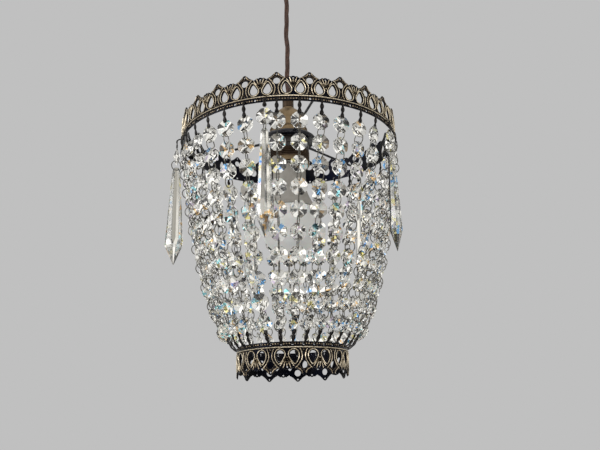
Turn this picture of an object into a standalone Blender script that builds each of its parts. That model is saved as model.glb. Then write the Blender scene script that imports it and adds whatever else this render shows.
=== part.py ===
"""Small crystal pendant light: two pierced brass bands joined by hanging strands of crystals.

Metres, +Z up. The origin is the centre of the ceiling rose's flat top, where it meets the
ceiling, and everything hangs below it. The front of the light faces -Y.
"""

from math import asin, asinh, atanh, cos, cosh, pi, radians, sin, sinh, sqrt, tan

import bmesh
import bpy
from mathutils import Vector, geometry

MM = 0.001
GAP = 0.3 * MM  # clearance between neighbouring pieces

# Ceiling rose and flex
ROSE_RADIUS = 31 * MM
ROSE_HEIGHT = 21 * MM
FLEX_DIAMETER = 5.0 * MM
FLEX_TOP_Z = -22.5 * MM  # inside the rose's bushing, where the flex swings from
FLEX_BOTTOM_Z = -159 * MM
FLEX_POINT_STEP = 13 * MM
SWING = radians(15)  # to either side

# Lampholder, turned parts on the light's own axis
GRIP_RADIUS = 5.6 * MM
GRIP_BOTTOM_Z = -171 * MM
CAP_RADIUS = 18.6 * MM
HUB_TOP_Z = -203.5 * MM
HUB_THICKNESS = 4 * MM
HUB_RADIUS = 26.5 * MM
SOCKET_RADIUS = 16 * MM
SOCKET_BORE = 13.6 * MM
SOCKET_FLANGE_RADIUS = 19.6 * MM
SOCKET_FLANGE_HEIGHT = 11 * MM
SHADE_RING_RADIUS = 19.9 * MM
SHADE_RING_HEIGHT = 13.5 * MM

# Bulb: an E27 lamp with a flared collar and a round globe
BULB_TOP_Z = -210.5 * MM
BULB_LENGTH = 110 * MM
BULB_CAP_RADIUS = 13 * MM
BULB_CAP_HEIGHT = 23.5 * MM
COLLAR_HEIGHT = 43 * MM
COLLAR_NECK_RADIUS = 15.8 * MM
GLOBE_RADIUS = 29 * MM

# Pierced bands. One repeat of the pattern has three pin holes along the plain edge.
PITCH = 28 * MM
HOLES_PER_REPEAT = 3
BAND_THICKNESS = 1.2 * MM
TOP_REPEATS = 23
BOTTOM_REPEATS = 11
TOP_EDGE_Z = -214.1 * MM  # the upper band's plain edge, which faces down
BOTTOM_EDGE_Z = -406.7 * MM  # the lower band's plain edge, which faces up
HOLE_INSET = 2 * MM
TOP_FIRST_HOLE = radians(-10.41)  # from -Y towards +X
BOTTOM_FIRST_HOLE = radians(-21.86)
TOP_RADIUS = TOP_REPEATS * PITCH / (2 * pi)
BOTTOM_RADIUS = BOTTOM_REPEATS * PITCH / (2 * pi)

# Spider arms from the hub to the upper band
ARM_COUNT = 3
ARM_RADIUS = 1.2 * MM
ARM_FIRST_ANGLE = radians(13)
ARM_END_Z = TOP_EDGE_Z + 4.6 * MM  # behind the band's moulding

# Crystal strands: a hanging chain of octagon beads between the two bands
STRAND_LENGTH = 206.5 * MM
BEADS = 10
BEAD_PITCH = 18.6 * MM
BEAD_HALF_WIDTH = 7 * MM
BEAD_HALF_HEIGHT = 6.5 * MM
BEAD_HALF_DEPTH = 3 * MM
LINK_HALF_WIDTH = 2.9 * MM
LINK_HALF_DEPTH = 0.7 * MM
PIN_HALF = 0.5 * MM
PIN_NECK = 9.5 * MM  # along the chain from the hole to the foot of the bare pin
HANG_OUT = 1.5 * MM  # from the band's middle to the pin outside it
HOOK_IN = 1.6 * MM  # from the band's middle to the pin's end inside it
# The lowest beads crowd together where the basket narrows, and turn edgewise.
BEAD_TURNS = {7: radians(12), 8: radians(32), 9: radians(48)}

# Prism drops, which hang from pins of their own in the upper band
PRISM_HOLES = (0, 13, 28, 41, 56)
PRISM_TURNS = (radians(42), radians(25), radians(0), radians(0), radians(80))
PRISM_HANG_RADIUS = 107.5 * MM
PRISM_PIN_LENGTH = 9.5 * MM  # below the hole
PRISM_BEAD_Z = -15.6 * MM  # these are below the upper band's plain edge
PRISM_TOP_Z = -27 * MM
PRISM_SHOULDER_Z = -101.5 * MM
PRISM_TIP_Z = -119.5 * MM
PRISM_TOP_HALF_WIDTH = 3.6 * MM
PRISM_HALF_WIDTH = 8.2 * MM
PRISM_HALF_DEPTH = 5.4 * MM

UP = Vector((0, 0, 1))


def clear_scene():
    for old in list(bpy.data.objects):
        bpy.data.objects.remove(old, do_unlink=True)


def finish(name, colour, metallic=0.0, roughness=0.5, transmission=0.0):
    """A Principled material; the alloy or plastic it stands for is in its name."""
    material = bpy.data.materials.new(name)
    material.use_nodes = True
    shader = material.node_tree.nodes["Principled BSDF"]
    shader.inputs["Base Color"].default_value = (*colour, 1)
    shader.inputs["Metallic"].default_value = metallic
    shader.inputs["Roughness"].default_value = roughness
    shader.inputs["Transmission Weight"].default_value = transmission
    material.diffuse_color = (*colour, 1)
    return material


def pivot(name, place, parent=None):
    """An empty on a joint's axis, which the moving pieces are parented to."""
    empty = bpy.data.objects.new(name, None)
    bpy.context.collection.objects.link(empty)
    empty.empty_display_size = 0.01
    return attach(empty, place, parent)


def attach(item, place, parent):
    """Parent item and put its origin at place, a point in world coordinates."""
    item.parent = parent
    item.location = Vector(place) - (world_place(parent) if parent else Vector((0, 0, 0)))
    return item


def world_place(item):
    place = item.location.copy()
    while item.parent:
        item = item.parent
        place += item.location
    return place


def solid(name, verts, faces, material, place=(0, 0, 0), parent=None, smooth=30):
    """A mesh object from world points, with its origin moved to place."""
    origin = Vector(place)
    mesh = bpy.data.meshes.new(name)
    mesh.from_pydata([Vector(v) - origin for v in verts], [], faces)
    body = bmesh.new()
    body.from_mesh(mesh)
    bmesh.ops.recalc_face_normals(body, faces=body.faces)
    body.to_mesh(mesh)
    body.free()
    mesh.materials.append(material)
    mesh.shade_smooth()
    mesh.set_sharp_from_angle(angle=radians(smooth))
    item = bpy.data.objects.new(name, mesh)
    bpy.context.collection.objects.link(item)
    return attach(item, origin, parent)


def turned(name, profile, material, parent, place=(0, 0, 0), steps=20):
    """A lathe piece. profile is a closed loop of (radius, z); it may start and end on the axis."""
    verts = []
    rings = []
    for radius, z in profile:
        if radius == 0:
            rings.append([len(verts)] * steps)
            verts.append((0, 0, z))
            continue
        rings.append([len(verts) + k for k in range(steps)])
        for k in range(steps):
            angle = 2 * pi * k / steps
            verts.append((radius * cos(angle), radius * sin(angle), z))
    on_axis = profile[0][0] == 0
    faces = []
    for i in range(len(rings) - (1 if on_axis else 0)):
        upper, lower = rings[i], rings[(i + 1) % len(rings)]
        for k in range(steps):
            corners = [upper[k], upper[(k + 1) % steps], lower[(k + 1) % steps], lower[k]]
            faces.append(list(dict.fromkeys(corners)))
    return solid(name, verts, faces, material, place, parent)


def lofted(name, stations, sides, material, parent, place):
    """A closed skin over sections. Each station is (centre, wide, deep): two half-axis vectors."""
    verts = []
    for centre, wide, deep in stations:
        for k in range(sides):
            angle = 2 * pi * k / sides
            verts.append(centre + wide * cos(angle) + deep * sin(angle))
    faces = [list(range(sides)), list(range(len(verts) - sides, len(verts)))]
    for i in range(len(stations) - 1):
        for k in range(sides):
            a = i * sides + k
            b = i * sides + (k + 1) % sides
            faces.append([a, b, b + sides, a + sides])
    return solid(name, verts, faces, material, place, parent, smooth=5)


def outward(angle):
    """The horizontal direction at an angle from -Y towards +X."""
    return Vector((sin(angle), -cos(angle), 0))


def sideways(angle):
    return Vector((cos(angle), sin(angle), 0))


def top_hole_angle(hole):
    return TOP_FIRST_HOLE + hole * 2 * pi / (TOP_REPEATS * HOLES_PER_REPEAT)


def bottom_hole_angle(hole):
    return BOTTOM_FIRST_HOLE + hole * 2 * pi / (BOTTOM_REPEATS * HOLES_PER_REPEAT)


# --- The pierced bands -------------------------------------------------------------------


def ring_of_points(centre_u, centre_v, radius, count, start=0.0):
    angles = [start + 2 * pi * k / count for k in range(count)]
    return [(centre_u + radius * cos(a), centre_v + radius * sin(a)) for a in angles]


def band_pattern():
    """One repeat's outline and openings in millimetres, as (u, v) along and away from the plain edge.

    The pointed finial is at u = 0, and half a fan is at each end, where repeats meet.
    """
    half = PITCH / MM / 2
    hole_step = PITCH / MM / HOLES_PER_REPEAT
    crest = [(6.3, 21.6), (1.3, 26.8), (-1.3, 26.8), (-6.3, 21.6)]
    valley = (8.2, 20.4)
    fan = (9.6, 22.0)
    edge_top = (half, 22.8)
    upper = [edge_top, fan, valley, *crest]
    upper += [(-valley[0], valley[1]), (-fan[0], fan[1]), (-half, edge_top[1])]
    lower = [(-half + hole_step * k / 2, 0.0) for k in range(2 * HOLES_PER_REPEAT + 1)]
    teardrop = [(8.0, 6.8), (11.2, 8.6), (11.4, 12.4), (7.6, 17.4), (4.6, 12.6), (4.8, 8.6)]
    openings = [
        teardrop,
        [(-u, v) for u, v in teardrop],
        ring_of_points(0, 18.8, 3.0, 6, pi / 6),
    ]
    for k in (-1, 0, 1):
        openings.append(ring_of_points(k * hole_step, HOLE_INSET / MM, 1.35, 4))
    return lower + upper, openings


def inside(point, loop):
    """Even-odd test of a point against a closed loop."""
    x, y = point
    crossings = 0
    for (ax, ay), (bx, by) in zip(loop, loop[1:] + loop[:1]):
        if (ay > y) != (by > y) and x < ax + (y - ay) * (bx - ax) / (by - ay):
            crossings += 1
    return crossings % 2 == 1


def pierced_sheet(outline, openings):
    """Triangles that fill the outline and leave the openings free, as points and corner lists."""
    points = []
    edges = []
    for loop in [outline, *openings]:
        first = len(points)
        points += [Vector(p) for p in loop]
        edges += [(first + k, first + (k + 1) % len(loop)) for k in range(len(loop))]
    points, _, triangles, *_ = geometry.delaunay_2d_cdt(points, edges, [], 0, 1e-6)
    kept = []
    for corners in triangles:
        middle = sum((points[c] for c in corners), Vector((0, 0))) / 3
        if inside(middle, outline) and not any(inside(middle, hole) for hole in openings):
            kept.append(list(corners))
    return points, kept


def pierced_band(name, radius, repeats, edge_z, rise, finial_angle, material, parent):
    """A strip of the pattern bent into a ring. rise is +1 for points up and -1 for points down."""
    points, triangles = pierced_sheet(*band_pattern())
    half = PITCH / MM / 2
    seam = {round(p.y, 3): i for i, p in enumerate(points) if p.x < 0.01 - half}
    twin = {i: seam[round(p.y, 3)] for i, p in enumerate(points) if p.x > half - 0.01}

    def corner(repeat, i):
        """The right-hand seam of a repeat uses the next repeat's left-hand points."""
        if i in twin:
            return (repeat + 1) % repeats * len(points) + twin[i]
        return repeat * len(points) + i

    verts = []
    for face_radius in (radius + BAND_THICKNESS / 2, radius - BAND_THICKNESS / 2):
        for repeat in range(repeats):
            for u, v in points:
                place = outward(finial_angle + (repeat * PITCH + u * MM) / radius) * face_radius
                verts.append((place.x, place.y, edge_z + rise * v * MM))
    layer = repeats * len(points)
    front = [[corner(r, i) for i in corners] for r in range(repeats) for corners in triangles]
    back = [[i + layer for i in reversed(corners)] for corners in front]
    steps = {(c[k], c[(k + 1) % 3]) for c in front for k in range(3)}
    walls = [[b, a, a + layer, b + layer] for a, b in sorted(steps) if (b, a) not in steps]
    used = sorted({i for face in front + back for i in face})
    place_of = {old: new for new, old in enumerate(used)}
    faces = [[place_of[i] for i in face] for face in front + back + walls]
    return solid(name, [verts[i] for i in used], faces, material, parent=parent)


# --- Ceiling rose and flex -----------------------------------------------------------------


def ceiling_rose(material):
    """A plain domed rose. Its top face lies on the ceiling."""
    foot = 9 * MM
    profile = [
        (0, 0),
        (ROSE_RADIUS, 0),
        (ROSE_RADIUS, -3 * MM),
        (0.93 * ROSE_RADIUS, -7 * MM),
        (0.75 * ROSE_RADIUS, -13 * MM),
        (0.48 * ROSE_RADIUS, -18 * MM),
        (foot, -ROSE_HEIGHT),
        (0, -ROSE_HEIGHT),
    ]
    turned("ceiling_rose", profile, material, None, steps=24)


def rose_cord_grip(material):
    """The bushing that the flex leaves the rose by, bell-mouthed for the flex's swing."""
    top = -ROSE_HEIGHT - GAP
    bottom = top - 6.2 * MM
    bore = FLEX_DIAMETER / 2 / cos(SWING) + 2 * GAP
    mouth = bore + (FLEX_TOP_Z - bottom) * tan(SWING)
    profile = [
        (bore, top),
        (7.2 * MM, top),
        (7.2 * MM, top - 3.4 * MM),
        (mouth + 1.2 * MM, bottom),
        (mouth, bottom),
        (bore, FLEX_TOP_Z),
    ]
    turned("rose_cord_grip", profile, material, None, steps=16)


def flex_cord(material, parent):
    """The taut flex: a straight tube from inside the rose's bushing to the lampholder's grip."""
    bottom = FLEX_BOTTOM_Z - 3 * MM
    count = round((FLEX_TOP_Z - bottom) / FLEX_POINT_STEP)
    curve = bpy.data.curves.new("flex_cord", "CURVE")
    curve.dimensions = "3D"
    curve.bevel_depth = FLEX_DIAMETER / 2
    curve.bevel_resolution = 2
    curve.use_fill_caps = True
    spline = curve.splines.new("POLY")
    spline.points.add(count)
    origin = world_place(parent)
    for k, point in enumerate(spline.points):
        z = FLEX_TOP_Z + (bottom - FLEX_TOP_Z) * k / count
        point.co = (0, 0, z - origin.z, 1)
    curve.materials.append(material)
    item = bpy.data.objects.new("flex_cord", curve)
    bpy.context.collection.objects.link(item)
    attach(item, origin, parent)


# --- Lampholder ----------------------------------------------------------------------------


def cord_grip(material, parent):
    """The neck on the lampholder's cap that clamps the flex."""
    bore = FLEX_DIAMETER / 2 + GAP
    profile = [
        (bore, FLEX_BOTTOM_Z),
        (4.6 * MM, FLEX_BOTTOM_Z),
        (GRIP_RADIUS, FLEX_BOTTOM_Z - 2 * MM),
        (GRIP_RADIUS, GRIP_BOTTOM_Z),
        (bore, GRIP_BOTTOM_Z),
    ]
    turned("cord_grip", profile, material, parent, steps=16)


def lampholder_cap(material, parent):
    """A hollow bell under the cord grip, with a bead round its rim."""
    top = GRIP_BOTTOM_Z - GAP
    rim = HUB_TOP_Z + GAP
    wall = 1.4 * MM
    bead_z = rim + 5.5 * MM
    profile = [
        (3.4 * MM, top),
        (6.6 * MM, top),
        (9.8 * MM, top - 3 * MM),
        (13.2 * MM, top - 8 * MM),
        (16.2 * MM, top - 15 * MM),
        (17.6 * MM, bead_z + 3 * MM),
        (CAP_RADIUS, bead_z + 1.6 * MM),
        (CAP_RADIUS, bead_z),
        (17.9 * MM, bead_z - 1 * MM),
        (17.9 * MM, rim),
        (17.9 * MM - wall, rim),
        (17.6 * MM - wall, bead_z + 3 * MM),
        (16.2 * MM - wall, top - 16 * MM),
        (13.2 * MM - wall, top - 9.4 * MM),
        (9.0 * MM, top - 4.6 * MM),
        (3.4 * MM, top - 3 * MM),
    ]
    turned("lampholder_cap", profile, material, parent)


def lampholder_body(material, parent):
    """The insulating sleeve that holds the bulb, with a flange below the hub."""
    flange_top = HUB_TOP_Z - HUB_THICKNESS - GAP
    flange_bottom = flange_top - SOCKET_FLANGE_HEIGHT
    bottom = flange_bottom - SHADE_RING_HEIGHT + 1 * MM
    top = HUB_TOP_Z + 9 * MM
    profile = [
        (SOCKET_BORE, top),
        (SOCKET_RADIUS - 0.4 * MM, top),
        (SOCKET_RADIUS - 0.4 * MM, flange_top),
        (SOCKET_FLANGE_RADIUS, flange_top),
        (SOCKET_FLANGE_RADIUS, flange_bottom),
        (SOCKET_RADIUS, flange_bottom),
        (SOCKET_RADIUS, bottom),
        (SOCKET_BORE, bottom),
    ]
    turned("lampholder_body", profile, material, parent)


def socket_insert(material, parent):
    """The ceramic floor of the socket, with the raised centre contact under it."""
    top = HUB_TOP_Z + 6 * MM
    edge = SOCKET_BORE - GAP
    floor = BULB_TOP_Z + 4 * MM
    profile = [
        (0, top),
        (edge, top),
        (edge, floor),
        (4 * MM, floor),
        (3 * MM, BULB_TOP_Z + GAP),
        (0, BULB_TOP_Z + GAP),
    ]
    turned("socket_insert", profile, material, parent)


def shade_ring(material, parent):
    """The ring screwed onto the sleeve from below. It turns about the light's axis."""
    top = HUB_TOP_Z - HUB_THICKNESS - SOCKET_FLANGE_HEIGHT - 2 * GAP
    bottom = top - SHADE_RING_HEIGHT
    groove = 0.7 * MM
    profile = [
        (SOCKET_RADIUS + GAP, top),
        (SHADE_RING_RADIUS, top),
        (SHADE_RING_RADIUS, top - 3.4 * MM),
        (SHADE_RING_RADIUS - groove, top - 4.4 * MM),
        (SHADE_RING_RADIUS, top - 5.4 * MM),
        (SHADE_RING_RADIUS, bottom + 1 * MM),
        (SHADE_RING_RADIUS - 1 * MM, bottom),
        (SOCKET_RADIUS + GAP, bottom),
    ]
    turned("shade_ring", profile, material, parent, place=world_place(parent))


def spider_hub(material, parent):
    """The flat disc clamped under the cap, which the three arms leave from."""
    bottom = HUB_TOP_Z - HUB_THICKNESS
    bevel = 0.6 * MM
    profile = [
        (SOCKET_RADIUS, HUB_TOP_Z),
        (HUB_RADIUS - bevel, HUB_TOP_Z),
        (HUB_RADIUS, HUB_TOP_Z - bevel),
        (HUB_RADIUS, bottom + bevel),
        (HUB_RADIUS - bevel, bottom),
        (SOCKET_RADIUS, bottom),
    ]
    turned("spider_hub", profile, material, parent, steps=24)


def spider_arms(material, parent):
    """Round rods from the hub's rim to the back of the upper band's moulding."""
    facets = TOP_REPEATS * 2 * HOLES_PER_REPEAT
    band_back = (TOP_RADIUS - BAND_THICKNESS / 2) * cos(pi / facets) - 1.4 * GAP
    start_z = HUB_TOP_Z - HUB_THICKNESS / 2
    for number in range(ARM_COUNT):
        angle = ARM_FIRST_ANGLE + number * 2 * pi / ARM_COUNT
        out, side = outward(angle), sideways(angle)
        ends = (
            out * (HUB_RADIUS + GAP) + UP * start_z,
            out * band_back + UP * ARM_END_Z,
        )
        stations = [(end, side * ARM_RADIUS, UP * ARM_RADIUS) for end in ends]
        lofted(f"spider_arm_{number + 1}", stations, 8, material, parent, ends[0])


# --- Crystal strands -----------------------------------------------------------------------


class HangingChain:
    """The curve a chain of a given length takes between two fixed points, measured from the top."""

    def __init__(self, top, foot, length):
        span = top - foot
        self.rise = span.z
        self.run = Vector((span.x, span.y)).length
        self.heading = Vector((span.x, span.y, 0)).normalized()
        self.foot = foot
        self.length = length
        self.scale = self._solve_scale()
        self.lowest = self.run / 2 - self.scale * atanh(self.rise / length)

    def _solve_scale(self):
        """Bisect 2a sinh(run / 2a) = sqrt(length^2 - rise^2) for the catenary's scale a."""
        wanted = sqrt(self.length**2 - self.rise**2)
        low, high = self.run / 40, self.run * 40
        for _ in range(60):
            middle = (low + high) / 2
            if 2 * middle * sinh(self.run / (2 * middle)) > wanted:
                low = middle
            else:
                high = middle
        return low

    def frame(self, down):
        """The place at a distance down the chain, its horizontal side and its outer normal."""
        a = self.scale
        start = a * sinh(-self.lowest / a)
        x = self.lowest + a * asinh((start + self.length - down) / a)
        slope = sinh((x - self.lowest) / a)
        z = a * (cosh((x - self.lowest) / a) - cosh(self.lowest / a))
        place = self.foot + self.heading * x + UP * z
        normal = (self.heading * slope - UP).normalized()
        side = UP.cross(self.heading)
        return place, side, normal


def strand_holes():
    """The upper band's hole for each strand, in order: every second one between two prisms."""
    once_round = PRISM_HOLES[0] + TOP_REPEATS * HOLES_PER_REPEAT
    holes = []
    for first, last in zip(PRISM_HOLES, (*PRISM_HOLES[1:], once_round)):
        holes += list(range(first + 1, last - 1, 2))
    return holes[-1:] + holes[:-1]


def crystal_strand(number, hole, material, parent):
    """A bent pin, ten beads with a flat link between each two, and another bent pin."""
    top_out = outward(top_hole_angle(hole))
    foot_out = outward(bottom_hole_angle(number))
    pin_foot = PIN_HALF * 1.6
    top = top_out * (TOP_RADIUS + HANG_OUT) + UP * (TOP_EDGE_Z + HOLE_INSET)
    foot = foot_out * (BOTTOM_RADIUS + HANG_OUT) + UP * (BOTTOM_EDGE_Z - HOLE_INSET)
    chain = HangingChain(top, foot, STRAND_LENGTH)

    def section(down, half_width, half_depth, turn=0.0):
        place, side, normal = chain.frame(down)
        wide = side * cos(turn) + normal * sin(turn)
        deep = normal * cos(turn) - side * sin(turn)
        return place, wide * half_width, deep * half_depth

    side = sideways(top_hole_angle(hole))
    stations = [
        (top - top_out * (HANG_OUT + HOOK_IN), side * PIN_HALF, UP * PIN_HALF),
        (top, side * PIN_HALF, (top_out + UP) * PIN_HALF),
        section(PIN_NECK, pin_foot, pin_foot),
    ]
    first_bead = (STRAND_LENGTH - (BEADS - 1) * BEAD_PITCH) / 2
    for bead in range(BEADS):
        middle = first_bead + bead * BEAD_PITCH
        turn = BEAD_TURNS.get(bead, 0.0)
        stations.append(section(middle - BEAD_HALF_HEIGHT, LINK_HALF_WIDTH, LINK_HALF_DEPTH, turn))
        stations.append(section(middle, BEAD_HALF_WIDTH, BEAD_HALF_DEPTH, turn))
        stations.append(section(middle + BEAD_HALF_HEIGHT, LINK_HALF_WIDTH, LINK_HALF_DEPTH, turn))
    side = sideways(bottom_hole_angle(number))
    stations += [
        section(STRAND_LENGTH - PIN_NECK, pin_foot, pin_foot),
        (foot, side * PIN_HALF, (foot_out - UP) * PIN_HALF),
        (foot - foot_out * (HANG_OUT + HOOK_IN), side * PIN_HALF, -UP * PIN_HALF),
    ]
    lofted(f"crystal_strand_{number + 1:02d}", stations, 4, material, parent, top)


# --- Prism drops ---------------------------------------------------------------------------


def prism_pin(number, hole, material, parent):
    """A bent pin from the upper band's hole out over the strands and down to the prism's bead."""
    out, side = outward(top_hole_angle(hole)), sideways(top_hole_angle(hole))
    hole_z = TOP_EDGE_Z + HOLE_INSET
    bend = out * PRISM_HANG_RADIUS + UP * hole_z
    stations = [
        (out * (TOP_RADIUS - HOOK_IN) + UP * hole_z, side * PIN_HALF, UP * PIN_HALF),
        (bend, side * PIN_HALF, (out + UP) * PIN_HALF),
        (bend - UP * PRISM_PIN_LENGTH, side * PIN_HALF, out * PIN_HALF),
    ]
    lofted(f"prism_pin_{number + 1}", stations, 6, material, parent, bend)


def prism_drop(number, hole, turn, material, parent):
    """An octagon bead, a link and a long pointed prism, which swing together from the pin's foot."""
    angle = top_hole_angle(hole)
    out, side = outward(angle), sideways(angle)
    foot = out * PRISM_HANG_RADIUS + UP * (TOP_EDGE_Z + HOLE_INSET - PRISM_PIN_LENGTH)
    swing = pivot(f"prism_swing_{number + 1}", foot, parent)

    def section(z, half_width, half_depth, twist=0.0):
        wide = side * cos(twist) + out * sin(twist)
        deep = out * cos(twist) - side * sin(twist)
        return out * PRISM_HANG_RADIUS + UP * (TOP_EDGE_Z + z), wide * half_width, deep * half_depth

    stations = [
        section(HOLE_INSET - PRISM_PIN_LENGTH - GAP, PIN_HALF, PIN_HALF),
        section(PRISM_BEAD_Z + BEAD_HALF_HEIGHT, LINK_HALF_WIDTH, LINK_HALF_DEPTH),
        section(PRISM_BEAD_Z, BEAD_HALF_WIDTH, BEAD_HALF_DEPTH),
        section(PRISM_BEAD_Z - BEAD_HALF_HEIGHT, LINK_HALF_WIDTH, LINK_HALF_DEPTH),
        section(PRISM_TOP_Z, PRISM_TOP_HALF_WIDTH, PRISM_HALF_DEPTH / 2, turn),
        section(PRISM_SHOULDER_Z, PRISM_HALF_WIDTH, PRISM_HALF_DEPTH, turn),
        section(PRISM_TIP_Z, 0.4 * MM, 0.3 * MM, turn),
    ]
    lofted(f"prism_drop_{number + 1}", stations, 6, material, swing, foot)


# --- Bulb ----------------------------------------------------------------------------------


def bulb(cap_material, collar_material, globe_material, parent):
    """An LED lamp in three pieces: screw cap, flared collar and round globe."""
    cap_bottom = BULB_TOP_Z - BULB_CAP_HEIGHT
    collar_top = cap_bottom - GAP
    collar_bottom = collar_top - COLLAR_HEIGHT
    centre = BULB_TOP_Z - BULB_LENGTH + GLOBE_RADIUS
    holder = pivot("bulb_lower", (0, 0, BULB_TOP_Z), parent)
    cap = [
        (0, BULB_TOP_Z),
        (4.5 * MM, BULB_TOP_Z),
        (BULB_CAP_RADIUS - 2 * MM, BULB_TOP_Z - 3 * MM),
        (BULB_CAP_RADIUS, BULB_TOP_Z - 6 * MM),
        (BULB_CAP_RADIUS, cap_bottom),
        (0, cap_bottom),
    ]
    turned("bulb_cap", cap, cap_material, holder, place=world_place(holder))
    rim_radius = sqrt(GLOBE_RADIUS**2 - (collar_bottom - centre) ** 2) + 0.4 * MM
    collar = [(0, collar_top), (COLLAR_NECK_RADIUS, collar_top)]
    flare_steps = 5
    flare_top = collar_top - 0.45 * COLLAR_HEIGHT
    for k in range(flare_steps + 1):
        t = k / flare_steps
        radius = COLLAR_NECK_RADIUS + (rim_radius - COLLAR_NECK_RADIUS) * t**1.7
        collar.append((radius, flare_top + (collar_bottom - flare_top) * t))
    collar.append((0, collar_bottom))
    turned("bulb_collar", collar, collar_material, holder, place=world_place(holder), steps=24)
    globe_steps = 8
    seat = collar_bottom - GAP
    first = asin((seat - centre) / GLOBE_RADIUS)
    globe = [(0, seat)]
    for k in range(globe_steps):
        angle = first + (-pi / 2 - first) * k / globe_steps
        globe.append((GLOBE_RADIUS * cos(angle), centre + GLOBE_RADIUS * sin(angle)))
    globe.append((0, centre - GLOBE_RADIUS))
    turned("bulb_globe", globe, globe_material, holder, place=world_place(holder), steps=24)


def build():
    clear_scene()
    antique_brass = finish("antique_brass", (0.42, 0.31, 0.16), 1.0, 0.38)
    dull_brass = finish("dull_brass", (0.38, 0.29, 0.17), 1.0, 0.45)
    black_iron = finish("black_iron", (0.02, 0.02, 0.022), 0.6, 0.5)
    dark_pin = finish("dark_pin_wire", (0.03, 0.028, 0.026), 0.8, 0.45)
    bakelite = finish("black_bakelite", (0.025, 0.022, 0.02), 0.0, 0.4)
    ceramic = finish("white_ceramic", (0.85, 0.84, 0.8), 0.0, 0.35)
    braid = finish("brown_braid", (0.11, 0.055, 0.035), 0.0, 0.9)
    crystal = finish("cut_crystal", (0.96, 0.97, 0.98), 0.0, 0.02, 1.0)
    nickel = finish("nickel_cap", (0.72, 0.7, 0.66), 1.0, 0.3)
    grey_plastic = finish("grey_collar_plastic", (0.36, 0.34, 0.31), 0.0, 0.55)
    opal = finish("opal_globe", (0.86, 0.86, 0.85), 0.0, 0.3)

    ceiling_rose(dull_brass)
    rose_cord_grip(black_iron)
    pendant = pivot("pendant_swing", (0, 0, FLEX_TOP_Z))
    flex_cord(braid, pendant)
    cord_grip(dull_brass, pendant)
    lampholder_cap(antique_brass, pendant)
    lampholder_body(bakelite, pendant)
    socket_insert(ceramic, pendant)
    ring_pivot = pivot("shade_ring_turn", (0, 0, HUB_TOP_Z - HUB_THICKNESS), pendant)
    shade_ring(dull_brass, ring_pivot)
    spider_hub(black_iron, pendant)
    spider_arms(black_iron, pendant)
    top = (TOP_RADIUS, TOP_REPEATS, TOP_EDGE_Z, 1, top_hole_angle(1))
    bottom = (BOTTOM_RADIUS, BOTTOM_REPEATS, BOTTOM_EDGE_Z, -1, bottom_hole_angle(0))
    pierced_band("top_band", *top, antique_brass, pendant)
    pierced_band("bottom_band", *bottom, antique_brass, pendant)
    for number, hole in enumerate(strand_holes()):
        crystal_strand(number, hole, crystal, pendant)
    for number, (hole, turn) in enumerate(zip(PRISM_HOLES, PRISM_TURNS)):
        prism_pin(number, hole, dark_pin, pendant)
        prism_drop(number, hole, turn, crystal, pendant)
    bulb(nickel, grey_plastic, opal, pendant)
    bpy.context.view_layer.update()


build()
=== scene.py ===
"""The looks of a small crystal pendant light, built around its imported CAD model.

Metres, +Z up, in the CAD model's own frame: the origin is the centre of the ceiling rose's top,
everything hangs below it, and the front of the light faces -Y.
"""

from bisect import bisect_left
from math import asinh, atan2, atanh, ceil, cos, cosh, pi, radians, sin, sinh, sqrt
from random import Random

import bmesh
import bpy
import numpy as np
from mathutils import Matrix, Vector, geometry

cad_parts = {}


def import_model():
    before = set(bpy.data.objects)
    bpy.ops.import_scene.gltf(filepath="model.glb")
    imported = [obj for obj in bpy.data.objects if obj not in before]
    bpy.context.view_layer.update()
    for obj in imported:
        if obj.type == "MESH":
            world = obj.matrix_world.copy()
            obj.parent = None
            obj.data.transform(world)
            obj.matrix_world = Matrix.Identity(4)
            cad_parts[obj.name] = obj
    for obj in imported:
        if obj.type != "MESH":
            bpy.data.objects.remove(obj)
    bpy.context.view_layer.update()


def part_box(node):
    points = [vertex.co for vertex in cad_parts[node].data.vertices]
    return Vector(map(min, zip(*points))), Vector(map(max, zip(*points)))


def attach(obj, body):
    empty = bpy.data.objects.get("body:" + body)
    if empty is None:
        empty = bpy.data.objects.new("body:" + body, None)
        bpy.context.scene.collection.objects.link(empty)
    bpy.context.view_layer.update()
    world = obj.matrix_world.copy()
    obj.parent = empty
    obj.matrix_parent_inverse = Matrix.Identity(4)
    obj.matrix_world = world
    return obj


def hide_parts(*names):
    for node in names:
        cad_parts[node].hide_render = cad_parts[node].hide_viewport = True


MM = 0.001
UP = Vector((0, 0, 1))

# Pierced bands: one repeat is PITCH long and has three pin holes along the plain edge.
PITCH = 28.0  # mm, as are all sizes in the pattern
HOLES_PER_REPEAT = 3
HOLE_STEP = PITCH / HOLES_PER_REPEAT
HOLE_INSET = 2.0
TOP_REPEATS = 23
BOTTOM_REPEATS = 11
TOP_FIRST_HOLE = radians(-10.41)  # from -Y towards +X
BOTTOM_FIRST_HOLE = radians(-21.86)
TOP_RADIUS = TOP_REPEATS * PITCH * MM / (2 * pi)
BOTTOM_RADIUS = BOTTOM_REPEATS * PITCH * MM / (2 * pi)
BAND_BACK = -0.6 * MM  # from the band's middle radius
BAND_FRONT = 0.15 * MM
RELIEF = 0.95 * MM  # the highest ridges above the front's ground

# Crystal strands
STRAND_LENGTH = 206.5 * MM
BEADS = 10
BEAD_PITCH = 18.6 * MM
BEAD_RADIUS = 7 * MM  # to a flat side of the octagon
BEAD_HALF_DEPTH = 3.4 * MM
BEAD_GIRDLE = 0.95 * MM  # half the thickness in the middle of a flat side
BEAD_HOLE = 4.6 * MM  # from the bead's middle
RING_WIRE = 0.42 * MM
RING_SIZE = 9.9 * MM  # across, between the wire's middles
RING_STEPS = 20
HANG_OUT = 1.5 * MM
HOOK_IN = 1.6 * MM
BEAD_SPIN = radians(7)  # how far beads and rings are turned at random
BEAD_TILT = radians(4)
RING_SPIN = radians(13)
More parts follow.
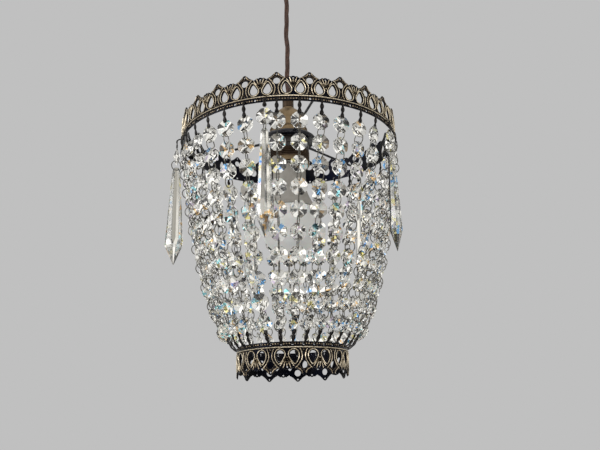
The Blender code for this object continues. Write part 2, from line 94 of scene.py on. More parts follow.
# Half the width of a pin in mm, at shares of its length from its hook to its foot
PIN_OUTLINE = [
    (0.0, 0.8), (0.20, 0.95), (0.30, 1.3), (0.40, 0.95), (0.52, 1.85),
    (0.60, 1.85), (0.70, 1.0), (0.83, 1.95), (0.93, 1.90), (1.0, 0.9),
]
BEAD_TURNS = {7: radians(12), 8: radians(32), 9: radians(48)}

# Prism drops
PRISM_HOLES = (0, 13, 28, 41, 56)
PRISM_TURNS = (radians(42), radians(25), 0.0, 0.0, radians(80))
PRISM_HANG_RADIUS = 107.5 * MM
PRISM_PIN_LENGTH = 9.5 * MM
PRISM_BEAD_Z = -15.6 * MM  # these are below the upper band's plain edge
PRISM_TOP_Z = -27 * MM
PRISM_SHOULDER_Z = -101.5 * MM
PRISM_TIP_Z = -119.5 * MM
PRISM_TOP_HALF_WIDTH = 3.6 * MM
PRISM_HALF_WIDTH = 8.2 * MM
PRISM_HALF_DEPTH = 5.4 * MM
# One side of the bar's section, in shares of its half width and half depth
PRISM_OUTLINE = [(0.34, 1.0), (0.80, 0.62), (1.0, 0.0), (0.80, -0.62), (0.34, -1.0)]

# Flex: three covered cores twisted round each other
CORE_RADIUS = 1.24 * MM
TWIST_RADIUS = 1.26 * MM
TWIST_PITCH = 76 * MM
FLEX_SWAY = 0.45 * MM
FLEX_SWAY_PITCH = 51 * MM
FLEX_SWAY_START = -7.6 * MM
FLEX_EASE = 14 * MM  # the sway fades out over this at both ends

FIRST_ARM = radians(13)  # of the spider
THREAD_PITCH = 3.6 * MM  # of the lamp's cap
FLOOR_RADIUS = 15
FLOOR_Z = -1.45

dice = Random(29)


# --- Mesh helpers ---


def placed(name, data):
    """A new object in the scene."""
    item = bpy.data.objects.new(name, data)
    bpy.context.collection.objects.link(item)
    return item


class Shape:
    """Points and faces in the making, each face with a material number and a tint."""

    def __init__(self):
        self.verts = []
        self.faces = []
        self.slots = []
        self.tints = []

    def add(self, verts, faces, slot=0, tints=None):
        first = len(self.verts)
        self.verts += [Vector(v) for v in verts]
        self.faces += [[first + i for i in face] for face in faces]
        self.slots += [slot] * len(faces)
        self.tints += tints or [(1, 1, 1, 1)] * len(faces)

    def build(self, name, materials, smooth=30, tinted=False):
        """The mesh object, smooth up to an angle in degrees. A tinted one has flat crystal facets."""
        mesh = bpy.data.meshes.new(name)
        mesh.from_pydata(self.verts, [], self.faces)
        for material in materials:
            mesh.materials.append(material)
        mesh.polygons.foreach_set("material_index", self.slots)
        body = bmesh.new()
        body.from_mesh(mesh)
        bmesh.ops.recalc_face_normals(body, faces=body.faces)
        body.to_mesh(mesh)
        body.free()
        mesh.shade_smooth()
        mesh.set_sharp_from_angle(angle=radians(smooth))
        if tinted:
            tint = mesh.color_attributes.new("facet_tint", "FLOAT_COLOR", "CORNER")
            for polygon, colour in zip(mesh.polygons, self.tints):
                polygon.use_smooth = "crystal" not in materials[polygon.material_index].name
                for corner in polygon.loop_indices:
                    tint.data[corner].color = colour
        return placed(name, mesh)


def outward(angle):
    """The horizontal direction at an angle from -Y towards +X."""
    return Vector((sin(angle), -cos(angle), 0))


def sideways(angle):
    return Vector((cos(angle), sin(angle), 0))


def curve_through(points, step, closed=False):
    """Points at about equal steps on a smooth Catmull-Rom curve through the given ones."""
    points = [Vector(p) for p in points]
    if closed:
        points = [points[-1], *points, *points[:2]]
    else:
        points = [points[0] * 2 - points[1], *points, points[-1] * 2 - points[-2]]
    parts = 12
    dense = []
    for p0, p1, p2, p3 in zip(points, points[1:], points[2:], points[3:]):
        for k in range(parts):
            t = k / parts
            square = (p0 * 2 - p1 * 5 + p2 * 4 - p3) * t**2
            cube = (p1 * 3 - p0 - p2 * 3 + p3) * t**3
            dense.append((p1 * 2 + (p2 - p0) * t + square + cube) / 2)
    dense.append(points[-2])
    lengths = [0.0]
    for a, b in zip(dense, dense[1:]):
        lengths.append(lengths[-1] + (b - a).length)
    pieces = max(2, ceil(lengths[-1] / step))
    result = []
    for k in range(pieces + (0 if closed else 1)):
        wanted = lengths[-1] * k / pieces
        i = bisect_left(lengths, wanted, 1, len(dense) - 1) - 1
        share = (wanted - lengths[i]) / max(lengths[i + 1] - lengths[i], 1e-9)
        result.append(dense[i].lerp(dense[i + 1], min(share, 1.0)))
    return result


def quads(rings, sides, closed=False):
    """The faces between each ring of points and the next, where a ring has as many as it has sides."""
    faces = []
    for i in range(rings if closed else rings - 1):
        a, b = i * sides, (i + 1) % rings * sides
        for k in range(sides):
            n = (k + 1) % sides
            faces.append([a + k, a + n, b + n, b + k])
    return faces


def lathe(shape, top, profile, steps=64, slot=0, centre=(0, 0)):
    """A turned body. profile is a loop of (radius, depth below top) in mm; radius 0 is the axis."""
    verts = []
    rings = []
    for radius, depth in profile:
        count = steps if radius else 1
        rings.append([len(verts) + k % count for k in range(steps)])
        for k in range(count):
            angle = 2 * pi * k / steps
            x, y = radius * MM * cos(angle), radius * MM * sin(angle)
            verts.append((centre[0] + x, centre[1] + y, (top - depth) * MM))
    closed = profile[0][0] > 0
    faces = []
    for a, b in zip(rings, rings[1:] + (rings[:1] if closed else [])):
        for k in range(steps):
            n = (k + 1) % steps
            face = list(dict.fromkeys([a[k], a[n], b[n], b[k]]))
            if len(face) > 2:
                faces.append(face)
    shape.add(verts, faces, slot)


def tube(shape, centres, radii, sides=8, slot=0, closed=False, flat=1.0, wide=None):
    """A round skin along centres. flat squeezes it across wide, a direction for its broad side."""
    count = len(centres)
    verts = []
    previous = wide
    for i, (centre, radius) in enumerate(zip(centres, radii)):
        ahead = centres[(i + 1) % count] if closed or i + 1 < count else centre
        behind = centres[i - 1] if closed or i else centre
        along = (ahead - behind).normalized()
        if previous is None:
            previous = along.orthogonal().normalized()
        side = (previous - along * previous.dot(along)).normalized()
        deep = along.cross(side)
        previous = side if wide is None else wide
        for k in range(sides):
            angle = 2 * pi * (k + 0.5) / sides
            verts.append(centre + side * radius * cos(angle) + deep * radius * flat * sin(angle))
    faces = quads(count, sides, closed)
    if not closed:
        faces += [list(range(sides)), list(range((count - 1) * sides, count * sides))]
    shape.add(verts, faces, slot)


def stands_for(item, node, body):
    """The piece rides on its body, in the place of its CAD node."""
    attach(item, body)
    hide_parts(node)
    return item


# --- Materials ---


class Nodes:
    """A short way to write a node tree. Its textures are placed by one of the coordinate outputs."""

    def __init__(self, tree, space):
        self.tree = tree
        self.place = self.add("TexCoord").outputs[space]

    def add(self, kind, sockets=None, **settings):
        """A new shader node with its settings, and what its input sockets are fed with."""
        node = self.tree.nodes.new("ShaderNode" + kind)
        for key, value in settings.items():
            setattr(node, key, value)
        for key, value in (sockets or {}).items():
            self.feed(node.inputs[key], value)
        return node

    def feed(self, socket, value):
        """The socket takes another's output, a number, a vector, or a colour of three numbers."""
        if isinstance(value, bpy.types.NodeSocket):
            self.tree.links.new(value, socket)
        else:
            socket.default_value = (*value, 1) if socket.type == "RGBA" else value

    def noise(self, scale, detail=3.0, stretch=None, rough=0.55):
        """Noise values. scale is in features per metre."""
        place = self.place
        if stretch:
            place = self.add("Mapping", {"Scale": stretch, "Vector": place}).outputs["Vector"]
        sockets = {"Scale": scale, "Detail": detail, "Roughness": rough, "Vector": place}
        return self.add("TexNoise", sockets).outputs["Fac"]

    def attribute(self, name):
        return self.add("Attribute", attribute_name=name).outputs

    def ramp(self, source, stops):
        """A colour ramp. Each stop is (position, colour)."""
        node = self.add("ValToRGB", {"Fac": source})
        elements = node.color_ramp.elements
        while len(elements) < len(stops):
            elements.new(0.5)
        for element, (position, colour) in zip(elements, stops):
            element.position = position
            element.color = (*colour, 1)
        return node.outputs["Color"]

    def span(self, source, low, high, start=0.3, stop=0.7):
        """source taken from start..stop to low..high."""
        sockets = {"Value": source, "From Min": start, "From Max": stop, "To Min": low, "To Max": high}
        return self.add("MapRange", sockets).outputs["Result"]

    def mix(self, share, first, second):
        """A mix of two colours, each a socket or three numbers."""
        sockets = {"Factor": share, "A": first, "B": second}
        return self.add("Mix", sockets, data_type="RGBA").outputs["Result"]

    def math(self, operation, first, second):
        return self.add("Math", {0: first, 1: second}, operation=operation).outputs["Value"]

    def choose(self, share, first, second):
        """A mix of two shaders."""
        return self.add("MixShader", {0: share, 1: first, 2: second}).outputs["Shader"]


class Finish(Nodes):
    """A material round one Principled shader. plain holds its values that are the same all over."""

    def __init__(self, name, **plain):
        self.material = bpy.data.materials.new(name)
        self.material.use_nodes = True
        tree = self.material.node_tree
        self.shader = tree.nodes["Principled BSDF"]
        for socket, value in plain.items():
            self.shader.inputs[socket.replace("_", " ")].default_value = value
        super().__init__(tree, "Object")

    def set(self, socket, source):
        self.feed(self.shader.inputs[socket], source)

    def bump(self, source, strength, distance):
        sockets = {"Strength": strength, "Distance": distance, "Height": source}
        self.set("Normal", self.add("Bump", sockets).outputs["Normal"])


def clouded(name, scale, dark, light, rough, detail=3, turn=(0.3, 0.7), grain=None, **plain):
    """A material that drifts from dark to light and in roughness, with an optional fine grain."""
    n = Finish(name, **plain)
    cloud = n.noise(scale, detail)
    n.set("Base Color", n.ramp(cloud, list(zip(turn, (dark, light)))))
    n.set("Roughness", n.span(cloud, *rough))
    if grain:
        fineness, strength = grain
        n.bump(n.noise(fineness, 2), strength, 0.00006)
    return n.material


def filigree_brass():
    """Antique brass by relief height: pale crests are rubbed brass with a painted highlight, and the nearly
    black ground is patina darkened further by painted shade.
    """
    n = Finish("filigree_brass", Metallic=1.0)
    level = n.attribute("level")["Fac"]
    grime = n.noise(900, 4)
    relief_wear_and_light = n.math("ADD", level, n.span(grime, -0.16, 0.16))
    # The ramp paints blue-black shade into the low ground and a pale cream painted highlight on the highest
    # crests.
    stops = [(0.0, (0.002, 0.003, 0.008)), (0.42, (0.006, 0.006, 0.009)), (0.60, (0.12, 0.09, 0.06))]
    stops += [(0.78, (0.60, 0.49, 0.335)), (1.0, (1.0, 0.93, 0.76))]
    dirt = n.span(n.noise(60, 2), 0.0, 0.12)
    n.set("Base Color", n.mix(dirt, n.ramp(relief_wear_and_light, stops), (0.08, 0.07, 0.055)))
    n.set("Roughness", n.span(grime, 0.26, 0.42))
    n.bump(n.noise(2600, 3), 0.25, 0.00008)
    return n.material


def dull_brass(name, dark, light):
    """Turned brass that has gone brown, with fine lathe lines round it."""
    n = Finish(name, Metallic=1.0)
    tarnish = n.noise(140, 5)
    colour = n.ramp(tarnish, [(0.3, dark), (0.7, light)])
    spots = n.noise(1500, 2)
    n.set("Base Color", n.mix(n.span(spots, 0.0, 0.5, 0.62, 0.75), colour, (0.06, 0.045, 0.03)))
    n.set("Roughness", n.span(tarnish, 0.32, 0.5))
    n.bump(n.noise(600, 2, stretch=(0.02, 0.02, 4.0)), 0.2, 0.00005)
    return n.material


def black_iron():
    """Black lacquer with a faint blue sheen painted into its colour, and fine orange peel."""
    # The blue in both blacks is a painted sheen.
    dark, light = (0.003, 0.004, 0.009), (0.012, 0.013, 0.02)
    plain = {"Metallic": 0.3, "Coat_Weight": 0.25, "Coat_Roughness": 0.25}
    return clouded(
        "black_iron", 90, dark, light, (0.38, 0.55), turn=(0.3, 0.75), grain=(1800, 0.15), **plain
    )


def pin_metal():
    """Blackened sheet pins, a little lighter and browner in patches."""
    dark, light = (0.005, 0.005, 0.006), (0.045, 0.038, 0.033)
    return clouded("dark_pin_metal", 700, dark, light, (0.32, 0.5), turn=(0.4, 0.8), Metallic=0.85)


def crystal(name, roughness):
    """Cut lead crystal. The facets carry painted tints: spectral ones are painted glints that stand for its
    dispersion, dark and grey ones are painted reflections, and the pale greys of the prisms are painted
    shade.
    """
    n = Finish(name, Roughness=roughness, IOR=1.6, Transmission_Weight=1.0)
    facet = n.attribute("facet_tint")  # its alpha is 0 where the tint fills the whole facet
    # Spark tints show only in Voronoi patches, as broken painted glints; whole-facet tints show all over
    # their facet.
    cells = n.add("TexVoronoi", {"Scale": 420, "Vector": n.place})
    patch = n.span(cells.outputs["Color"], 0.0, 1.0, 0.50, 0.52)
    patch = n.math("MULTIPLY", patch, facet["Alpha"])
    n.set("Base Color", n.mix(patch, facet["Color"], CLEAR[:3]))
    clear = n.add("BsdfTransparent", {"Color": (0.86, 0.87, 0.88)})  # for the lights' rays
    shadow = n.add("LightPath").outputs["Is Shadow Ray"]
    shown = n.choose(shadow, n.shader.outputs["BSDF"], clear.outputs["BSDF"])
    n.feed(n.tree.nodes["Material Output"].inputs["Surface"], shown)
    return n.material


def braid():
    """Brown textile over the cores: a fine diagonal weave with lighter, fluffed threads."""
    n = Finish("brown_braid", Roughness=0.85, Sheen_Weight=0.08, Sheen_Roughness=0.5)
    weave = n.attribute("weave")["Vector"]
    bands = []
    for lean in (radians(45), radians(-45)):
        place = n.add("Mapping", {"Rotation": (0, 0, lean), "Vector": weave}).outputs["Vector"]
        sockets = {"Scale": 1.6, "Distortion": 0.4, "Vector": place}
        bands.append(n.add("TexWave", sockets, bands_direction="X").outputs["Fac"])
    thread = n.math("MAXIMUM", *bands)
    base = n.ramp(n.noise(300, 4), [(0.3, (0.040, 0.018, 0.013)), (0.72, (0.120, 0.058, 0.039))])
    n.set("Base Color", n.mix(n.span(thread, 0.0, 0.4, 0.2, 1.0), base, (0.022, 0.012, 0.01)))
    n.bump(thread, 0.5, 0.00015)
    return n.material


def opal():
    """The lamp's frosted globe, with a soft unevenness in the white."""
    plain = {"IOR": 1.45, "Subsurface_Weight": 0.15, "Subsurface_Scale": 0.01}
    return clouded("opal_globe", 45, (0.62, 0.62, 0.61), (0.69, 0.69, 0.68), (0.3, 0.42), **plain)


def moulded(name, dark, light, rough):
    """Plastic or ceramic with a faint mottling and a fine moulded grain."""
    return clouded(name, 120, dark, light, rough, detail=4, grain=(1600, 0.12))


# --- The pierced bands ---

TEARDROP = [
    (7.9, 6.0), (11.4, 7.3), (12.7, 10.4), (11.2, 14.2),
    (7.5, 18.3), (4.8, 15.2), (3.75, 11.4), (4.9, 7.6),
]
TEARDROP_HOLE = [
    (8.0, 7.1), (10.7, 8.2), (11.6, 10.6), (10.2, 13.6),
    (7.6, 16.7), (5.7, 14.3), (4.8, 11.3), (5.8, 8.4),
]
LEG = [(2.9, 5.9), (1.75, 9.0), (1.25, 12.2), (2.1, 15.2), (4.0, 18.2), (5.9, 20.4), (7.1, 21.3)]
PETAL = [(4.9, 21.7), (3.4, 22.4), (1.9, 24.2), (1.5, 25.6)]
BROW = [(3.5, 19.3), (2.6, 21.4), (0.0, 22.7)]
FAN_FOOT = (14.0, 12.3)
FAN_RIBS = ((0.0, 7.6), (19.0, 9.4), (37.0, 9.1))  # lean in degrees and reach
TOP_LINE = [
    (14.0, 22.9), (12.9, 22.7), (12.35, 22.05), (11.5, 22.5), (10.3, 22.2),
    (9.75, 21.4), (8.9, 21.35), (8.25, 20.5), (7.75, 21.4), (6.6, 22.0),
    (5.6, 22.5), (4.2, 23.6), (2.5, 25.2), (1.2, 26.5), (0.0, 26.9),
]


class Pattern:
    """One repeat of the bands' pattern: its outline, openings, ridges and knobs, in millimetres."""

    def __init__(self):
        half = PITCH / 2
        notch = [(half - 0.8 * cos(k * pi / 4), 20.9 + 0.8 * sin(k * pi / 4)) for k in range(-2, 3)]
        seam = [(half, v) for v in (1.4, 2.8, 4.6, 6.4, 8.4, 10.4, 12.4, 14.2, 16.2, 18.2)]
        bottom = [(PITCH * k / 36 - half, 0.0) for k in range(18, 37)]
        right = bottom + seam + notch + TOP_LINE
        self.outline = right + [(-u, v) for u, v in reversed(right[1:-1])]
        self.openings = []
        self.ridges = []  # (points, half width, height from 0 to 1)
        for sign in (1, -1):
            drop = curve_through([(sign * u, v) for u, v in TEARDROP_HOLE], 1.1, closed=True)
            self.openings.append([tuple(p) for p in drop])
            for loop, width, height in ((LEG, 0.55, 0.95), (PETAL, 0.9, 0.75), (BROW, 0.5, 0.6)):
                self.ridge([(sign * u, v) for u, v in loop], width, height)
            self.ridge([(sign * u, v) for u, v in TEARDROP], 0.68, 1.0, closed=True)
            for lean, reach in FAN_RIBS:
                way = Vector((-sign * sin(radians(lean)), cos(radians(lean))))
                foot = Vector((sign * FAN_FOOT[0], FAN_FOOT[1]))
                for first, last, width in ((2.4, 4.6, 0.36), (4.6, 6.6, 0.52), (6.6, reach, 0.68)):
                    self.ridge([foot + way * first, foot + way * last], width, 0.95)
        self.openings += [ring_of(0, 18.8, 3.0, 16), ring_of(0, 24.8, 0.75, 8)]
        self.openings += [ring_of(k * HOLE_STEP, HOLE_INSET, 1.0, 10) for k in (-1, 0, 1)]
        self.ridge([(-half - 1, 4.55), (0, 4.55), (half + 1, 4.55)], 0.85, 1.0)
        self.ridge([(-1.6, 8.6), (0, 8.0), (1.6, 8.6)], 0.45, 0.5)
        # (u, v, radius, height)
        self.knobs = [(sign * FAN_FOOT[0], 12.9, 0.95, 0.85) for sign in (1, -1)]
        self.knobs += [(0, 6.6, 0.85, 0.7), (0, 23.3, 0.8, 0.6)]
        beads = 4 * HOLES_PER_REPEAT
        for k in range(beads + 1):
            if (k - 2) % 4:
                self.knobs.append((-half + k * HOLE_STEP / 4, 1.75, 1.05, 0.75))

    def ridge(self, points, width, height, closed=False):
        line = curve_through(points, 0.8, closed)
        self.ridges.append((line + line[:1] if closed else line, width, height))

    def levels(self, places):
        """The relief's height, from 0 to 1, at each (u, v)."""
        places = np.array(places)
        level = np.zeros(len(places))
        for shift in (-PITCH, 0, PITCH):
            for line, width, height in self.ridges:
                line = np.array(line) + (shift, 0)
                gap = gaps(places, line[:-1], line[1:]).min(1) / width
                level = np.maximum(level, height * np.clip(1 - gap**2, 0, 1))
            for u, v, radius, height in self.knobs:
                gap = np.linalg.norm(places - (u + shift, v), axis=1) / radius
                level = np.maximum(level, height * np.sqrt(np.clip(1 - gap**2, 0, 1)))
        return level

    def free_points(self):
        """Points along the ridges' crests and feet, round the knobs and over the ground."""
        found = []
        for line, width, _ in self.ridges:
            for i, place in enumerate(line):
                along = (line[min(i + 1, len(line) - 1)] - line[max(i - 1, 0)]).normalized()
                side = Vector((-along.y, along.x))
                found += [place + side * width * share for share in (0, 0.6, -0.6, 1.05, -1.05)]
        for u, v, radius, _ in self.knobs:
            found += [(u, v), *ring_of(u, v, radius * 0.62, 6), *ring_of(u, v, radius * 1.03, 9)]
        return found + [(-13.4 + i * 1.165, 0.7 + j * 1.4) for i in range(24) for j in range(19)]


def ring_of(u, v, radius, count):
    turn = 2 * pi / count
    return [(u + radius * cos(k * turn), v + radius * sin(k * turn)) for k in range(count)]


def gaps(places, starts, ends):
    """How far each place is from each straight line, one row for a place."""
    ways = ends - starts
    offsets = places[:, None] - starts
    share = np.clip((offsets * ways).sum(2) / (ways**2).sum(1), 0, 1)
    return np.linalg.norm(offsets - share[:, :, None] * ways, axis=2)


def inside(point, loops):
    """Even-odd test of a point against closed loops."""
    x, y = point
    odd = False
    for loop in loops:
        for (ax, ay), (bx, by) in zip(loop, loop[1:] + loop[:1]):
            if (ay > y) != (by > y) and x < ax + (y - ay) * (bx - ax) / (by - ay):
                odd = not odd
    return odd


def fill(loops, extra, clearance):
    """Triangles inside loops[0] and outside the others, with extra points kept clear of the edges."""
    points = []
    edges = []
    for loop in loops:
        first = len(points)
        points += [Vector(p) for p in loop]
        edges += [(first + k, first + (k + 1) % len(loop)) for k in range(len(loop))]
    border = np.array(points)
    starts, ends = (border[list(side)] for side in zip(*edges))
    extra = np.array([Vector(p) for p in extra])
    chosen = []
    for spot, gap in zip(extra, gaps(extra, starts, ends).min(1)):
        crowded = chosen and np.linalg.norm(np.array(chosen) - spot, axis=1).min() < clearance
        if gap >= clearance and not crowded and inside(spot, loops):
            chosen.append(spot)
    points += [Vector(p) for p in chosen]
    points, _, triangles, *_ = geometry.delaunay_2d_cdt(points, edges, [], 0, 1e-6)
    middles = [sum((points[c] for c in corners), Vector((0, 0))) / 3 for corners in triangles]
    return points, [list(corners) for corners, at in zip(triangles, middles) if inside(at, loops)]


def band(node, pattern, sheets, radius, repeats, edge_z, rise, finial_angle, material):
    """The pattern bent into a ring, with relief on its outer sheet and a plain inner one."""
    half = PITCH / 2
    shape = Shape()
    levels = []

    def key(layer, repeat, u, v):
        """The same name for a seam's points in both repeats that meet there."""
        if u > half - 1e-4:
            repeat, u = (repeat + 1) % repeats, -half
        return layer, repeat, round(u, 4), round(v, 4)

    index = {}
    for layer, (points, _) in enumerate(sheets):
        heights = np.zeros(len(points)) if layer else pattern.levels(points)
        for repeat in range(repeats):
            for (u, v), height in zip(points, heights):
                name = key(layer, repeat, u, v)
                if name in index:
                    continue
                index[name] = len(shape.verts)
                offset = BAND_BACK if layer else BAND_FRONT + RELIEF * height
                place = outward(finial_angle + (repeat * PITCH + u) * MM / radius) * (radius + offset)
                shape.verts.append(Vector((place.x, place.y, edge_z + rise * v * MM)))
                levels.append(height)
    outer, inner = [], []
    for layer, (faces, (points, triangles)) in enumerate(zip((outer, inner), sheets)):
        for repeat in range(repeats):
            faces += [[index[key(layer, repeat, *points[c])] for c in corners] for corners in triangles]
    across = {i: index.get((1, *rest)) for (layer, *rest), i in index.items() if layer == 0}
    steps = {(c[k], c[(k + 1) % 3]) for c in outer for k in range(3)}
    walls = [[b, a, across[a], across[b]] for a, b in sorted(steps) if (b, a) not in steps]
    shape.faces = outer + [face[::-1] for face in inner] + walls
    shape.slots = [0] * len(shape.faces)
    item = shape.build(f"{node}_filigree", [material], smooth=50)
    # level is the relief height, which the filigree brass turns into patina, painted shade and painted
    # highlight.
    item.data.attributes.new("level", "FLOAT", "POINT").data.foreach_set("value", levels)
    stands_for(item, node, "pendant")


# --- Crystals ---

CLEAR = (0.985, 0.975, 0.945, 1)
# Pale greys on whole prism facets are painted shade that marks the facets.
PRISM_FLANK_PAINTED_SHADE = (0.89, 0.885, 0.865, 0)
PRISM_MIDDLE_PAINTED_SHADE = (0.72, 0.72, 0.65, 0.65, 0.40)  # how light each prism's middle facets are
# How often a facet takes each painted tint: the near-black and grey ones are painted dark reflections, the
# colours are painted dispersion glints
PAINTED_SPARKS_AND_DARKS = (
    (0.050, (0.03, 0.03, 0.035, 1)), (0.040, (0.42, 0.43, 0.44, 1)), (0.030, (0.03, 0.25, 0.95, 1)),
    (0.025, (0.15, 0.80, 1.0, 1)), (0.030, (1.0, 0.85, 0.18, 1)), (0.022, (1.0, 0.42, 0.08, 1)),
    (0.012, (0.75, 0.55, 1.0, 1)),
)


def facet_tint(often=1):
    roll = dice.random()
    for share, colour in PAINTED_SPARKS_AND_DARKS:
        roll -= share * often
        if roll < 0:
            return colour
    return CLEAR


def octagon_bead(shape, centre, side, down, normal):
    """An octagon with eight kite facets on each face, which meet in a point in the middle."""
    corner_reach = BEAD_RADIUS / cos(pi / 8)
    corner_depth = BEAD_HALF_DEPTH - 1.1716 * (BEAD_HALF_DEPTH - BEAD_GIRDLE)  # keeps the kites flat
    verts = []
    for sign in (1, -1):
        verts.append(centre + normal * sign * BEAD_HALF_DEPTH)
        for k in range(16):
            angle = pi * k / 8
            reach, depth = (corner_reach, corner_depth) if k % 2 else (BEAD_RADIUS, BEAD_GIRDLE)
            flat = side * sin(angle) * reach - down * cos(angle) * reach
            verts.append(centre + flat + normal * sign * depth)
    faces = []
    for start in (0, 17):
        faces += [[start, *(start + 1 + (k + n) % 16 for n in range(3))] for k in range(0, 16, 2)]
    faces += [[1 + k, 1 + (k + 1) % 16, 18 + (k + 1) % 16, 18 + k] for k in range(16)]
    # The front kites take painted sparks and painted dark reflections at random; the girdle stays clear.
    tints = [facet_tint() for _ in range(16)] + [CLEAR] * 16
    shape.add(verts, faces, 0, tints)


def jump_ring(shape, centre, down, across, length, width):
    """A wire ring in the plane of down and across."""
    turns = [2 * pi * k / RING_STEPS for k in range(RING_STEPS)]
    points = [centre + down * cos(a) * length / 2 + across * sin(a) * width / 2 for a in turns]
    tube(shape, points, [RING_WIRE] * RING_STEPS, 6, slot=1, closed=True)


def waisted_pin(shape, points, wide, slot=2):
    """A flat pin, pinched twice along its length, through the given points."""
    route = curve_through(points, 0.55 * MM)
    shares = [i / (len(route) - 1) for i in range(len(route))]
    radii = [float(half) * MM for half in np.interp(shares, *zip(*PIN_OUTLINE))]
    tube(shape, route, radii, 8, slot, flat=0.42, wide=wide)


class HangingChain:
    """The curve a chain of a given length takes between two fixed points, measured from the top."""

    def __init__(self, top, foot, length):
        span = top - foot
        rise = span.z
        run = span.xy.length
        self.heading = Vector((*span.xy, 0)).normalized()
        self.foot = foot
        self.length = length
        wanted = sqrt(length**2 - rise**2)
        self.scale, high = run / 40, run * 40
        for _ in range(60):
            middle = (self.scale + high) / 2
            if 2 * middle * sinh(run / (2 * middle)) > wanted:
                self.scale = middle
            else:
                high = middle
        self.lowest = run / 2 - self.scale * atanh(rise / length)

    def frame(self, down):
        """The place at a distance down the chain, its side, its downward way and outer normal."""
        a = self.scale
        start = a * sinh(-self.lowest / a)
        x = self.lowest + a * asinh((start + self.length - down) / a)
        slope = sinh((x - self.lowest) / a)
        z = a * (cosh((x - self.lowest) / a) - cosh(self.lowest / a))
        place = self.foot + self.heading * x + UP * z
        normal = (self.heading * slope - UP).normalized()
        side = UP.cross(self.heading)
        return place, side, -side.cross(normal).normalized(), normal


def jitter(side, down, normal, tilt):
    """The three directions turned by small random angles about down and then about side."""
    turn = Matrix.Rotation(dice.gauss(0, BEAD_SPIN), 3, down)
    turn = Matrix.Rotation(dice.gauss(0, tilt), 3, side) @ turn
    return turn @ side, turn @ down, turn @ normal


def top_hole_angle(hole):
    return TOP_FIRST_HOLE + hole * 2 * pi / (TOP_REPEATS * HOLES_PER_REPEAT)


def bottom_hole_angle(hole):
    return BOTTOM_FIRST_HOLE + hole * 2 * pi / (BOTTOM_REPEATS * HOLES_PER_REPEAT)


def strand_holes():
    """The upper band's hole for each strand, in order: every second one between two prisms."""
    once_round = PRISM_HOLES[0] + TOP_REPEATS * HOLES_PER_REPEAT
    holes = []
    for first, last in zip(PRISM_HOLES, (*PRISM_HOLES[1:], once_round)):
        holes += list(range(first + 1, last - 1, 2))
    return holes[-1:] + holes[:-1]


def crystal_strand(number, hole, top_z, bottom_z, materials):
    """Ten octagon beads on jump rings between two blackened pins."""
    top_out = outward(top_hole_angle(hole))
    foot_out = outward(bottom_hole_angle(number))
    top = top_out * (TOP_RADIUS + HANG_OUT) + UP * top_z
    foot = foot_out * (BOTTOM_RADIUS + HANG_OUT) + UP * bottom_z
    chain = HangingChain(top, foot, STRAND_LENGTH)
    shape = Shape()
    first_bead = (STRAND_LENGTH - (BEADS - 1) * BEAD_PITCH) / 2
    for bead in range(BEADS):
        turn = BEAD_TURNS.get(bead, 0.0)
        place, side, down, normal = chain.frame(first_bead + bead * BEAD_PITCH)
        around = Matrix.Rotation(turn, 3, down)
        octagon_bead(shape, place, *jitter(around @ side, down, around @ normal, BEAD_TILT))
        if bead < BEADS - 1:
            place, side, down, normal = chain.frame(first_bead + (bead + 0.5) * BEAD_PITCH)
            around = Matrix.Rotation(turn + dice.gauss(0, RING_SPIN), 3, down)
            jump_ring(shape, place, down, around @ normal, RING_SIZE, RING_SIZE * 0.96)
    reach = first_bead - BEAD_HOLE
    for hook, out, end, way in ((top, top_out, 0, 1), (foot, foot_out, STRAND_LENGTH, -1)):
        line = [hook - out * (HANG_OUT + HOOK_IN), hook - out * 0.2 * MM]
        for share, proud in ((0.25, 1.2 * MM), (0.6, 1.2 * MM), (1.0, 0.6 * MM)):
            place, _, _, normal = chain.frame(end + way * reach * share)
            line.append(place + normal * proud)
        waisted_pin(shape, line, sideways(atan2(out.x, -out.y)))
    item = shape.build(f"crystals_{number + 1:02d}", materials, smooth=25, tinted=True)
    stands_for(item, f"crystal_strand_{number + 1:02d}", "pendant")


def long_prism(shape, axis_top, side, out, light):
    """A pointed bar with a broad middle facet between bevels on its front and back."""
    full = PRISM_TOP_Z - PRISM_SHOULDER_Z
    neck = 3.2 * MM  # where the short chamfer at its top ends
    taper = full - 6 * MM  # where the middle facet starts to come to its point
    spans = 12
    # (height below the prism's top, half width, half depth, share of the middle facet)
    stations = [(0.0, PRISM_TOP_HALF_WIDTH * 0.62, PRISM_HALF_DEPTH * 0.30, 1.0)]
    stations.append((neck, PRISM_TOP_HALF_WIDTH, PRISM_HALF_DEPTH * 0.5, 1.0))
    lower = [(neck + (taper - neck) * k / spans, 1.0 - 0.25 * k / spans) for k in range(1, spans + 1)]
    for depth, middle in [*lower, (full, 0.04)]:
        share = depth / full
        half_width = PRISM_TOP_HALF_WIDTH + (PRISM_HALF_WIDTH - PRISM_TOP_HALF_WIDTH) * share
        stations.append((depth, half_width, PRISM_HALF_DEPTH * (0.5 + 0.5 * share), middle))
    stations.append((PRISM_TOP_Z - PRISM_TIP_Z, 0.25 * MM, 0.2 * MM, 1.0))
    ring = PRISM_OUTLINE + [(-x, -y) for x, y in PRISM_OUTLINE]
    verts = []
    for depth, half_width, half_depth, middle in stations:
        for x, y in ring:
            narrow = x * middle if abs(x) < 0.5 else x
            verts.append(axis_top - UP * depth + side * narrow * half_width + out * y * half_depth)
    sides = len(ring)
    faces = [list(range(sides)), list(range(len(verts) - sides, len(verts)))]
    faces += quads(len(stations), sides)
    tints = [CLEAR, CLEAR]
    for i in range(len(stations) - 1):
        for k in range(sides):
            # Middle facets take the prism's painted shade, flanks a paler painted shade, and edge facets
            # often a painted spark.
            plain = (light, light * 0.96, light * 0.86, 0) if k in (4, 9) else PRISM_FLANK_PAINTED_SHADE
            edge = k in (1, 2, 6, 7)
            spark = facet_tint(3 if edge else 1) if edge or i > spans else CLEAR
            tints.append(plain if spark == CLEAR else spark)
    shape.add(verts, faces, 2, tints)


